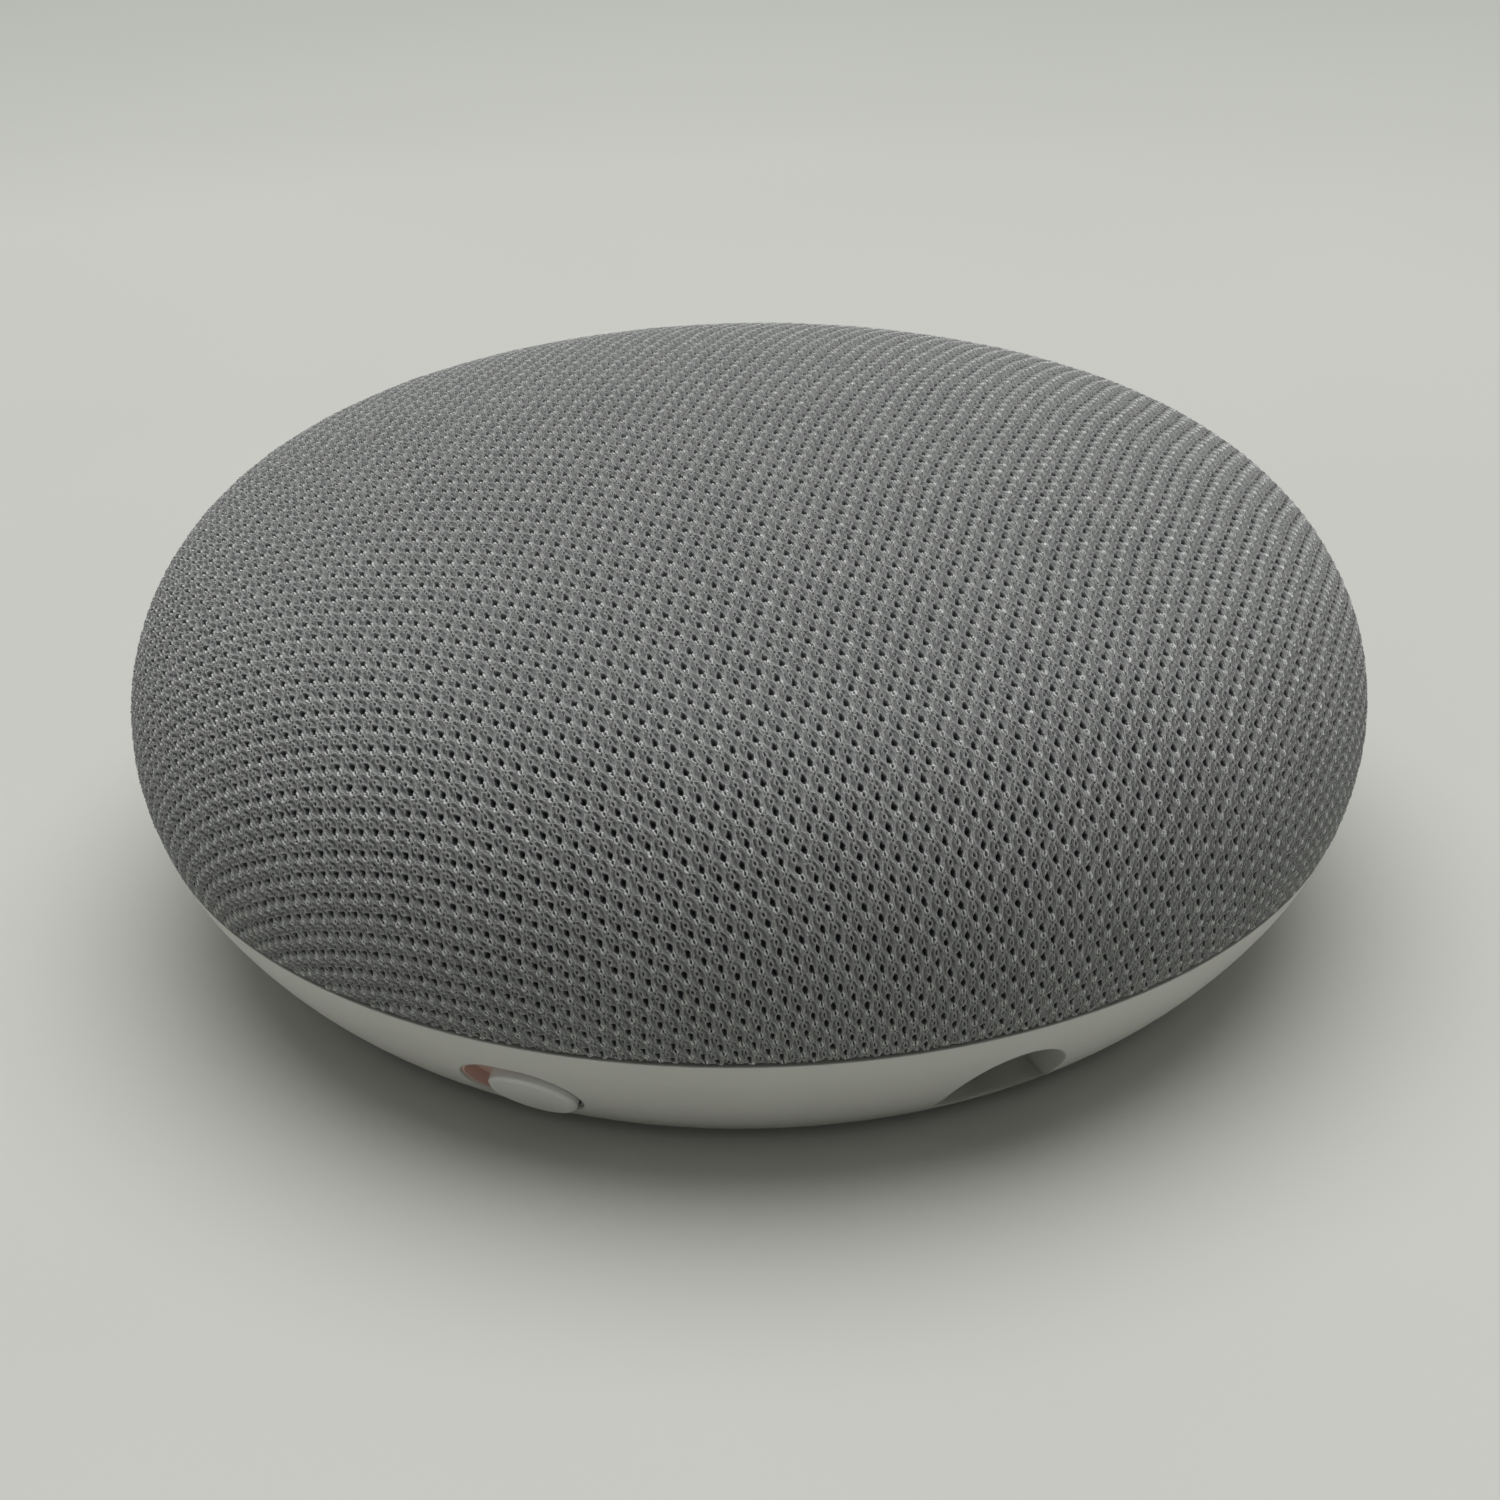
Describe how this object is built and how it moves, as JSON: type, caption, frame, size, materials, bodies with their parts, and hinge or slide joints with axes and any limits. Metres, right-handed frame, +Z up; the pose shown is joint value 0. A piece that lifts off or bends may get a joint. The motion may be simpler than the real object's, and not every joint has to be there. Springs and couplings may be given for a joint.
{
  "type": "smart speaker",
  "caption": "Pebble-shaped smart speaker: knitted fabric top over a perforated dome, moulded lower housing with a power port and a sliding mute switch, flat base with a keyhole.",
  "frame": {"origin": "centre of the base, on the surface the speaker stands on", "axes": "+Z up through the crown, -Y out of the power port, the mute switch lies from the port towards -X"},
  "size_m": [0.098, 0.098, 0.042],
  "materials": {
    "knit_fabric": "knitted polyester, light grey marl",
    "dome_plastic": "moulded, matt",
    "white_plastic": "moulded, fine matt texture",
    "coral_plastic": "moulded, matt",
    "grey_silicone": "matt silicone",
    "adhesive_film": "double-sided film",
    "screw_steel": "zinc-plated",
    "black_plastic": "moulded, matt",
    "nickel_contact": "nickel-plated",
    "board_green": "glass-epoxy board, solder mask",
    "board_blue": "glass-epoxy board, solder mask",
    "chip_black": "moulded epoxy",
    "tin_plate": "tin-plated sheet",
    "thermal_gel": "soft gap filler",
    "pressed_aluminium": "pressed sheet",
    "ferrite": "moulded ferrite",
    "can_aluminium": "drawn cans",
    "cream_plastic": "moulded",
    "gold_strip": "plated strip",
    "box_plastic": "glass-filled, matt",
    "black_foam": "closed-cell foam",
    "driver_steel": "pressed steel, plated",
    "magnet_grey": "sintered neodymium",
    "copper_winding": "enamelled copper on a polyimide former",
    "black_paper": "pressed pulp",
    "black_rubber": "moulded rubber",
    "spider_cloth": "resin-dipped cloth",
    "red_wire": "insulated wire",
    "flat_ribbon": "flat flexible cable",
    "led_white": "clear epoxy over white",
    "clear_plastic": "clear moulded",
    "mic_metal": "plated lid",
    "copper_foil": "etched foil"
  },
  "bodies": {
    "housing": {"fabric_cover": "knit_fabric", "top_shell": "dome_plastic", "bottom_shell": "white_plastic", "base_pad": "grey_silicone", "pad_adhesive": "adhesive_film", "case_screws": "screw_steel", "mute_track_plate": "coral_plastic", "switch_body": "black_plastic", "power_jack_body": "black_plastic", "power_jack_pin": "nickel_contact", "main_board": "board_green", "board_screws": "screw_steel", "processor": "chip_black", "processor_shield": "tin_plate", "radio_chip": "chip_black", "radio_shield": "tin_plate", "thermal_pad": "thermal_gel", "heat_spreader": "pressed_aluminium", "power_choke": "ferrite", "power_capacitors": "can_aluminium", "board_connectors": "cream_plastic", "wifi_antennas": "gold_strip", "speaker_tub": "box_plastic", "speaker_lid": "box_plastic", "driver_gasket": "black_foam", "driver_basket": "driver_steel", "driver_yoke": "driver_steel", "driver_magnet": "magnet_grey", "driver_pole_plate": "driver_steel", "surround": "black_rubber", "spider": "spider_cloth", "driver_terminals": "gold_strip", "driver_screws": "screw_steel", "speaker_wires": "red_wire", "ribbon_cable": "flat_ribbon", "top_board": "board_blue", "status_leds": "led_white", "light_guide": "clear_plastic", "microphones": "mic_metal", "mic_gaskets": "black_foam", "touch_pads": "copper_foil", "touch_contacts": "gold_strip", "ribbon_connector": "cream_plastic", "top_board_screws": "screw_steel"},
    "mute_button": {"mute_slider": "white_plastic", "switch_lever": "black_plastic"},
    "cone_assembly": {"speaker_cone": "black_paper", "voice_coil": "copper_winding", "dust_cap": "black_paper"}
  },
  "joints": [
    {"name": "mute_slide", "type": "slide", "parent": "housing", "child": "mute_button", "axis": [-0.6717, 0.7408, 0], "range_m": [0, 0.0019]},
    {"name": "cone_travel", "type": "slide", "parent": "housing", "child": "cone_assembly", "axis": [0, 0, 1], "range_m": [-0.0015, 0.0015], "stiffness_N_per_m": 1500, "deforming": ["surround", "spider"]}
  ]
}
